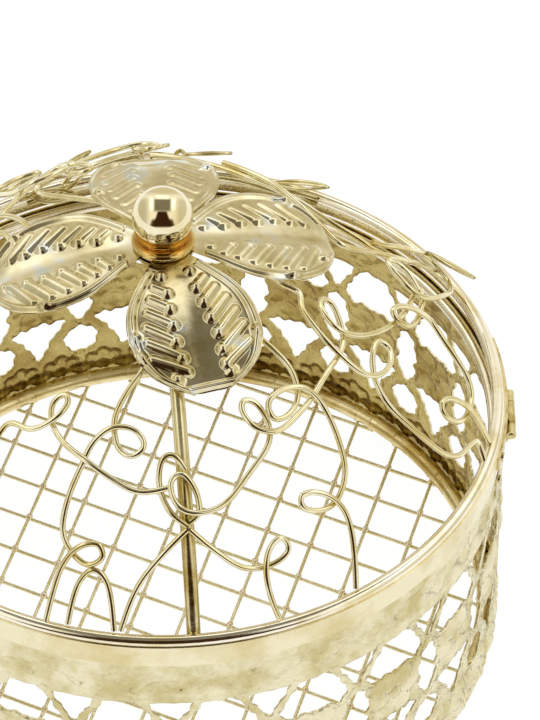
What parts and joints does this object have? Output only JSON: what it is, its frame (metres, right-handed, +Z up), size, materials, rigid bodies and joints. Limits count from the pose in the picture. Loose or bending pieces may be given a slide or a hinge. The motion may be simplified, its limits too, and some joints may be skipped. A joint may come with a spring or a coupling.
{
  "type": "wedding card box",
  "caption": "Round gold-plated card box: stamped lace wall on a wire mesh floor, with a hinged wire scroll dome lid, a metal flower and a ball finial.",
  "frame": {"origin": "centre of the base, on the table the box stands on", "axes": "+Z up, +X towards the hinge, -Y towards the side the box is looked at from; lengths in metres"},
  "size_m": [0.2726, 0.2684, 0.2273],
  "materials": {
    "base_rod": "gold-coloured plating on a thick rod, darkest low in the box",
    "mesh_wire": "plated spot-welded wire mesh, satin",
    "lace_sheet": "stamped sheet, satin gold-coloured plating",
    "frame_rod": "bright pale champagne plating",
    "band_sheet": "rolled strip, satin plating",
    "hinge_metal": "plated strip, pin and rivets",
    "petal_sheet": "stamped sheet, bright pale champagne plating",
    "collar_metal": "polished, deeper orange gold",
    "ball_metal": "polished ball",
    "hub_metal": "plated plate, nut and stud",
    "scroll_wire": "bright pale champagne plating on bent wire",
    "vine_metal": "bright pale champagne plating on thin wire"
  },
  "bodies": {
    "box": {"base_ring": "base_rod", "base_mesh": "mesh_wire", "lace_panel_1": "lace_sheet", "lace_panel_2": "lace_sheet", "rim_ring": "frame_rod", "hinge_box_leaf": "hinge_metal", "hinge_pin": "hinge_metal", "hinge_box_rivets": "hinge_metal"},
    "lid": {"lid_ring": "frame_rod", "lid_band": "band_sheet", "hinge_lid_leaf": "hinge_metal", "hinge_lid_rivets": "hinge_metal", "rib_front": "frame_rod", "rib_back": "frame_rod", "hub_plate": "hub_metal", "hub_nut": "hub_metal", "finial_stud": "hub_metal", "finial_collar": "collar_metal", "finial_ball": "ball_metal", "petal_front": "petal_sheet", "petal_right": "petal_sheet", "petal_back": "petal_sheet", "petal_left": "petal_sheet", "scroll_front_1": "scroll_wire", "scroll_front_2": "scroll_wire", "scroll_front_3": "scroll_wire", "scroll_front_4": "scroll_wire", "scroll_front_5": "scroll_wire", "scroll_front_6": "scroll_wire", "scroll_front_7": "scroll_wire", "scroll_front_8": "scroll_wire", "scroll_front_9": "scroll_wire", "scroll_front_10": "scroll_wire", "scroll_front_11": "scroll_wire", "scroll_back_1": "scroll_wire", "scroll_back_2": "scroll_wire", "scroll_back_3": "scroll_wire", "scroll_back_4": "scroll_wire", "scroll_back_5": "scroll_wire", "scroll_back_6": "scroll_wire", "scroll_right_1": "scroll_wire", "scroll_right_2": "scroll_wire", "scroll_right_3": "scroll_wire", "vine_wire_1": "vine_metal", "vine_wire_2": "vine_metal", "vine_wire_3": "vine_metal", "vine_eye": "vine_metal", "vine_leaves": "vine_metal"}
  },
  "joints": [
    {"name": "lid_hinge", "type": "hinge", "parent": "box", "child": "lid", "pos_m": [0.1364, 0, 0.10875], "axis": [0, 1, 0], "range_deg": [0, 105]}
  ]
}
